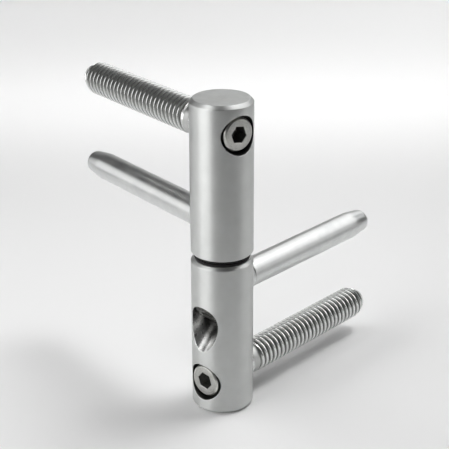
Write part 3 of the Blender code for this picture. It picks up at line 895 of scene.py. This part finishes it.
def scaled_noise(tree, scale, detail, stretch=(1.0, 1.0, 1.0)):
    """A noise in object space, stretched along the chosen axes."""
    coordinates = tree.nodes.new("ShaderNodeTexCoord")
    mapping = tree.nodes.new("ShaderNodeMapping")
    mapping.inputs["Scale"].default_value = stretch
    tree.links.new(coordinates.outputs["Object"], mapping.inputs["Vector"])
    noise = tree.nodes.new("ShaderNodeTexNoise")
    noise.inputs["Scale"].default_value = scale
    noise.inputs["Detail"].default_value = detail
    tree.links.new(mapping.outputs["Vector"], noise.inputs["Vector"])
    return noise.outputs["Fac"]


def mapped(tree, value, from_low, from_high, to_low, to_high):
    """A value carried from one range to another."""
    remap = tree.nodes.new("ShaderNodeMapRange")
    remap.inputs["From Min"].default_value = from_low
    remap.inputs["From Max"].default_value = from_high
    remap.inputs["To Min"].default_value = to_low
    remap.inputs["To Max"].default_value = to_high
    tree.links.new(value, remap.inputs["Value"])
    return remap.outputs["Result"]


def colour_ramp(tree, value, low, low_colour, high, high_colour):
    """A colour mixed by a value, with its two ends at low and high."""
    ramp = tree.nodes.new("ShaderNodeValToRGB")
    ends = ramp.color_ramp.elements
    ends[0].position = low
    ends[0].color = (*low_colour, 1.0)
    ends[1].position = high
    ends[1].color = (*high_colour, 1.0)
    tree.links.new(value, ramp.inputs["Fac"])
    return ramp.outputs["Color"]


def vary(tree, shader, noise, dark, light, smooth, rough):
    """A shader's colour and roughness between two ends, by a noise."""
    colour = colour_ramp(tree, noise, NOISE_LOW, dark, NOISE_HIGH, light)
    roughness = mapped(tree, noise, NOISE_LOW, NOISE_HIGH, smooth, rough)
    tree.links.new(colour, shader.inputs["Base Color"])
    tree.links.new(roughness, shader.inputs["Roughness"])


def bump(tree, shader, height, strength, distance):
    """Relief on a shader's normal."""
    node = tree.nodes.new("ShaderNodeBump")
    node.inputs["Strength"].default_value = strength
    node.inputs["Distance"].default_value = distance
    tree.links.new(height, node.inputs["Height"])
    tree.links.new(node.outputs["Normal"], shader.inputs["Normal"])


def satin_steel():
    """Satin nickel with fine grooves round the barrel, which draw the highlights out upright."""
    made, tree, shader = new_metal("satin_steel")
    shader.inputs["Anisotropic"].default_value = BRUSHING
    shader.inputs["Anisotropic Rotation"].default_value = QUARTER_TURN
    tangent = tree.nodes.new("ShaderNodeTangent")
    tangent.direction_type = "RADIAL"
    tangent.axis = "Z"
    tree.links.new(tangent.outputs["Tangent"], shader.inputs["Tangent"])
    grooves = scaled_noise(tree, scale=1.0, detail=3.0, stretch=TURNING_STRETCH)
    cloud = scaled_noise(tree, scale=220.0, detail=4.0)
    vary(tree, shader, cloud, dark=(0.57, 0.58, 0.57), light=(0.63, 0.64, 0.63), smooth=0.42, rough=0.50)
    bump(tree, shader, grooves, strength=0.12, distance=0.02 * MM)
    return made


def distance_from_axis(tree):
    """How far a point is from the hinge axis, in object space."""
    coordinates = tree.nodes.new("ShaderNodeTexCoord")
    flatten = tree.nodes.new("ShaderNodeVectorMath")
    flatten.operation = "MULTIPLY"
    flatten.inputs[1].default_value = (1.0, 1.0, 0.0)
    tree.links.new(coordinates.outputs["Object"], flatten.inputs[0])
    length = tree.nodes.new("ShaderNodeVectorMath")
    length.operation = "LENGTH"
    tree.links.new(flatten.outputs["Vector"], length.inputs[0])
    return length.outputs["Value"]


def satin_ends():
    """The barrels' ends: the same plating, faced on the lathe in fine rings."""
    made, tree, shader = new_metal("satin_ends")
    rings = tree.nodes.new("ShaderNodeTexNoise")
    rings.noise_dimensions = "1D"
    rings.inputs["Scale"].default_value = FACING_MARKS
    rings.inputs["Detail"].default_value = 2.0
    tree.links.new(distance_from_axis(tree), rings.inputs["W"])
    cloud = scaled_noise(tree, scale=340.0, detail=4.0)
    vary(tree, shader, cloud, dark=(0.61, 0.62, 0.61), light=(0.69, 0.70, 0.69), smooth=0.50, rough=0.58)
    bump(tree, shader, rings.outputs["Fac"], strength=0.15, distance=0.02 * MM)
    return made


def bored_steel():
    """The machined walls of a barrel's bores: painted bright by the mouth as a highlight, and painted dark
    further in as shade.
    """
    made, tree, shader = new_metal("bored_steel")
    painted_shade = (0.12, 0.12, 0.115)
    bright = (0.80, 0.80, 0.79)
    grain = scaled_noise(tree, scale=900.0, detail=3.0)
    outwards = mapped(tree, distance_from_axis(tree), 0.0, BARREL_RADIUS, 0.0, 1.0)
    # Painted shade deep in the bores and a painted highlight by their mouths, by distance from the axis
    colour = colour_ramp(tree, outwards, BORE_SHADE_RADIUS, painted_shade, BORE_HIGHLIGHT_RADIUS, bright)
    tree.links.new(colour, shader.inputs["Base Color"])
    roughness = mapped(tree, grain, NOISE_LOW, NOISE_HIGH, to_low=0.24, to_high=0.32)
    tree.links.new(roughness, shader.inputs["Roughness"])
    bump(tree, shader, grain, strength=0.03, distance=0.02 * MM)
    return made


def dark_steel(name, dark, light, smooth, rough):
    """Dark steel with a faint grain, between two warm greys and two roughnesses: the height screw's
    blackened steel, and the painted shade in the counterbores and key sockets.
    """
    made, tree, shader = new_metal(name)
    grain = scaled_noise(tree, scale=1900.0, detail=4.0)
    dark_grey = (dark, dark, WARM_GREY_BLUE * dark)
    light_grey = (light, light, WARM_GREY_BLUE * light)
    vary(tree, shader, grain, dark_grey, light_grey, smooth, rough)
    bump(tree, shader, grain, strength=0.2, distance=0.03 * MM)
    return made


def plated_pin():
    """Smooth zinc plating with a fine grain."""
    made, tree, shader = new_metal("plated_pin")
    grain = scaled_noise(tree, scale=2600.0, detail=4.0)
    cloud = scaled_noise(tree, scale=260.0, detail=3.0)
    vary(tree, shader, cloud, dark=(0.62, 0.63, 0.63), light=(0.70, 0.71, 0.70), smooth=0.28, rough=0.34)
    bump(tree, shader, grain, strength=0.10, distance=0.03 * MM)
    return made


def plated_screw():
    """Bright zinc plating that turns dull towards the roots of the thread, and is painted dark there as
    shade.
    """
    made, tree, shader = new_metal("plated_screw")
    crest = (0.74, 0.75, 0.74)
    root = (0.16, 0.16, 0.15)
    groove = tree.nodes.new("ShaderNodeAttribute")
    groove.attribute_name = "groove"
    depth = groove.outputs["Fac"]
    # Painted shade: the colour darkens from crest to root by the groove depth
    colour = colour_ramp(tree, depth, low=0.10, low_colour=crest, high=0.85, high_colour=root)
    tree.links.new(colour, shader.inputs["Base Color"])
    roughness = mapped(tree, depth, 0.0, 1.0, to_low=0.20, to_high=0.56)
    tree.links.new(roughness, shader.inputs["Roughness"])
    grain = scaled_noise(tree, scale=2600.0, detail=4.0)
    bump(tree, shader, grain, strength=0.10, distance=0.03 * MM)
    return made


def socket_steel():
    """Dull warm plating on the rings and the fixing screws' heads."""
    made, tree, shader = new_metal("socket_ring")
    grain = scaled_noise(tree, scale=1900.0, detail=5.0)
    vary(tree, shader, grain, dark=(0.54, 0.54, 0.51), light=(0.66, 0.66, 0.63), smooth=0.28, rough=0.40)
    bump(tree, shader, grain, strength=0.2, distance=0.04 * MM)
    return made


def ground_steel():
    """Ground and hardened steel with fine marks round it."""
    made, tree, shader = new_metal("ground_steel")
    marks = scaled_noise(tree, scale=1.0, detail=2.0, stretch=GRINDING_STRETCH)
    vary(tree, shader, marks, dark=(0.62, 0.62, 0.63), light=(0.70, 0.70, 0.71), smooth=0.14, rough=0.24)
    return made


def bearing_bronze():
    """Sintered bronze with small dark pores."""
    made, tree, shader = new_metal("bearing_bronze")
    pores = scaled_noise(tree, scale=3200.0, detail=4.0)
    vary(tree, shader, pores, dark=(0.34, 0.22, 0.10), light=(0.62, 0.43, 0.22), smooth=0.36, rough=0.5)
    bump(tree, shader, pores, strength=0.3, distance=0.05 * MM)
    return made


def black_nylon():
    """Moulded black nylon with a faint grain."""
    made, tree, shader = new_material("black_nylon")
    shader.inputs["Specular IOR Level"].default_value = 0.15
    grain = scaled_noise(tree, scale=2400.0, detail=3.0)
    vary(tree, shader, grain, (0.008, 0.008, 0.008), (0.018, 0.018, 0.018), smooth=0.38, rough=0.52)
    bump(tree, shader, grain, strength=0.15, distance=0.03 * MM)
    return made


def pale_paper():
    """Plain matt paper."""
    made, tree, shader = new_material("pale_paper")
    shader.inputs["Base Color"].default_value = (PAPER_GREY, PAPER_GREY, PAPER_GREY, 1.0)
    shader.inputs["Roughness"].default_value = PAPER_ROUGHNESS
    shader.inputs["Specular IOR Level"].default_value = 0.0
    return made


def make_sweep():
    """A plain pale floor that curves up into a low backdrop behind the hinge."""
    profile = [(-SWEEP_FRONT, 0.0)]
    for step in range(SWEEP_STEPS + 1):
        angle = 0.5 * math.pi * step / SWEEP_STEPS
        across = SWEEP_BACK - SWEEP_CURVE + SWEEP_CURVE * math.sin(angle)
        profile.append((across, SWEEP_CURVE - SWEEP_CURVE * math.cos(angle)))
    profile.append((SWEEP_BACK, SWEEP_HEIGHT))
    points = []
    faces = []
    for index, (across, height) in enumerate(profile):
        points.append((-SWEEP_HALF_WIDTH, across, height))
        points.append((SWEEP_HALF_WIDTH, across, height))
        if index:
            low = 2 * (index - 1)
            faces.append((low, low + 1, low + 3, low + 2))
    mesh = bpy.data.meshes.new("sweep")
    mesh.from_pydata(points, [], faces)
    mesh.shade_smooth()
    sweep = bpy.data.objects.new("sweep", mesh)
    sweep.location.z = -SWEEP_DROP
    sweep.rotation_euler.z = CAMERA_HEADING - 0.5 * math.pi
    bpy.context.scene.collection.objects.link(sweep)
    mesh.materials.append(pale_paper())


def aim(obj, target):
    """Turn an object's -Z to a point."""
    direction = Vector(target) - obj.location
    obj.rotation_euler = direction.to_track_quat("-Z", "Y").to_euler()


def from_camera(turn, distance, height):
    """A point round the hinge, by its angle in degrees from the camera's side, right of it if above 0."""
    away = CAMERA_HEADING + math.pi + math.radians(turn)
    return (distance * math.cos(away), distance * math.sin(away), height)


def add_softbox(name, place, target, size, radiance, spread=180.0):
    """A rectangular lamp of that radiance, aimed at a point, with its light's spread in degrees."""
    width, depth = size
    lamp = bpy.data.lights.new(name, "AREA")
    lamp.shape = "RECTANGLE"
    lamp.size = width
    lamp.size_y = depth
    lamp.energy = radiance * width * depth * math.pi
    lamp.spread = math.radians(spread)
    made = bpy.data.objects.new(name, lamp)
    made.location = place
    bpy.context.scene.collection.objects.link(made)
    aim(made, target)


def light_floor():
    """Narrow lamps over the floor by the hinge and behind it, and a wash on the backdrop."""
    near = from_camera(180.0, distance=0.06, height=0.0)
    far = from_camera(180.0, distance=0.46, height=0.0)
    wall = from_camera(180.0, distance=1.0, height=0.35)
    over = (0.38, 0.38)
    add_softbox("over_right", from_camera(130.0, 0.33, 0.66), near, over, radiance=0.38, spread=30.0)
    add_softbox("over_left", from_camera(-118.0, 0.33, 0.66), near, over, radiance=0.14, spread=30.0)
    add_softbox("over_back", from_camera(180.0, 0.459, 0.75), far, (0.52, 0.48), radiance=0.50, spread=14.0)
    add_softbox("backdrop", from_camera(180.0, 0.62, 0.75), wall, (0.9, 0.2), radiance=0.8, spread=90.0)


def light_hinge():
    """A bright key low on the left, and soft fills low and high on both sides."""
    middle = HINGE_MIDDLE
    add_softbox("key_left", from_camera(-62.0, 0.5, 0.14), middle, (0.46, 0.26), radiance=3.7)
    add_softbox("wash_left", from_camera(-108.0, 0.6, 0.17), middle, (0.34, 0.34), radiance=1.1)
    add_softbox("high_left", from_camera(-66.0, 0.32, 0.52), middle, (0.25, 0.25), radiance=1.5)
    add_softbox("high_right", from_camera(110.0, 0.50, 0.42), middle, (0.4, 0.4), radiance=1.4)
    add_softbox("back_right", from_camera(156.0, 0.60, 0.46), middle, (0.4, 0.4), radiance=1.25)
    add_softbox("low_right", from_camera(92.0, 0.60, 0.14), middle, (0.3, 0.2), radiance=0.8)


def light_world():
    """A faint even light from all round."""
    world = bpy.data.worlds.new("studio")
    world.use_nodes = True
    background = world.node_tree.nodes["Background"]
    background.inputs["Color"].default_value = (STUDIO_GREY, STUDIO_GREY, STUDIO_GREY, 1.0)
    bpy.context.scene.world = world


def make_camera():
    """The photograph's camera."""
    data = bpy.data.cameras.new("camera")
    data.lens = CAMERA_LENS
    data.sensor_width = SENSOR_WIDTH
    data.clip_start = NEAR_CLIP
    data.clip_end = FAR_CLIP
    camera = bpy.data.objects.new("camera", data)
    level = math.cos(CAMERA_PITCH)
    forward = Vector((
        level * math.cos(CAMERA_HEADING),
        level * math.sin(CAMERA_HEADING),
        -math.sin(CAMERA_PITCH),
    ))
    right = forward.cross(Vector((0.0, 0.0, 1.0))).normalized()
    right = Matrix.Rotation(-CAMERA_ROLL, 3, forward) @ right
    up = right.cross(forward)
    turn = Matrix((right, up, -forward)).transposed().to_4x4()
    camera.matrix_world = Matrix.Translation(CAMERA_PLACE) @ turn
    bpy.context.scene.collection.objects.link(camera)
    bpy.context.scene.camera = camera


def build_hinge():
    """All the pieces, with their looks."""
    # The counterbores' walls are painted dark as shade.
    counterbore = dark_steel("counterbore_painted_shade", dark=0.09, light=0.15, smooth=0.34, rough=0.48)
    satin = (satin_steel(), satin_ends(), bored_steel(), counterbore)
    # The fixing screws' key sockets are painted a dark grey as shade; the height screw's socket takes it
    # too.
    dark = dark_steel("socket_painted_shade", dark=0.20, light=0.34, smooth=0.4, rough=0.6)
    black_screw = dark_steel("blackened_steel", dark=0.07, light=0.11, smooth=0.26, rough=0.36)
    pin_steel = plated_pin()
    ring_steel = socket_steel()
    screw_steel = (plated_screw(), dark, ring_steel)
    pivot_steel = ground_steel()
    make_barrel("frame", FRAME_AXIS, frame_barrel_profile(), height_bore_cutters(), satin)
    make_barrel("leaf", LEAF_AXIS, leaf_barrel_profile(), [], satin)
    for half, axis in (("frame", FRAME_AXIS), ("leaf", LEAF_AXIS)):
        make_guide_pin(half, axis, pin_steel)
        make_fixing_screw(half, axis, screw_steel)
        make_screw_ring(half, axis, ring_steel)
    make_height_screw((black_screw, dark))
    make_thrust_pad(pivot_steel)
    make_pivot_pin(pivot_steel)
    make_bearings(black_nylon(), bearing_bronze())


def build():
    bpy.context.scene.view_settings.view_transform = "Standard"
    build_hinge()
    make_sweep()
    light_floor()
    light_hinge()
    light_world()
    make_camera()


build()
bpy.context.view_layer.update()
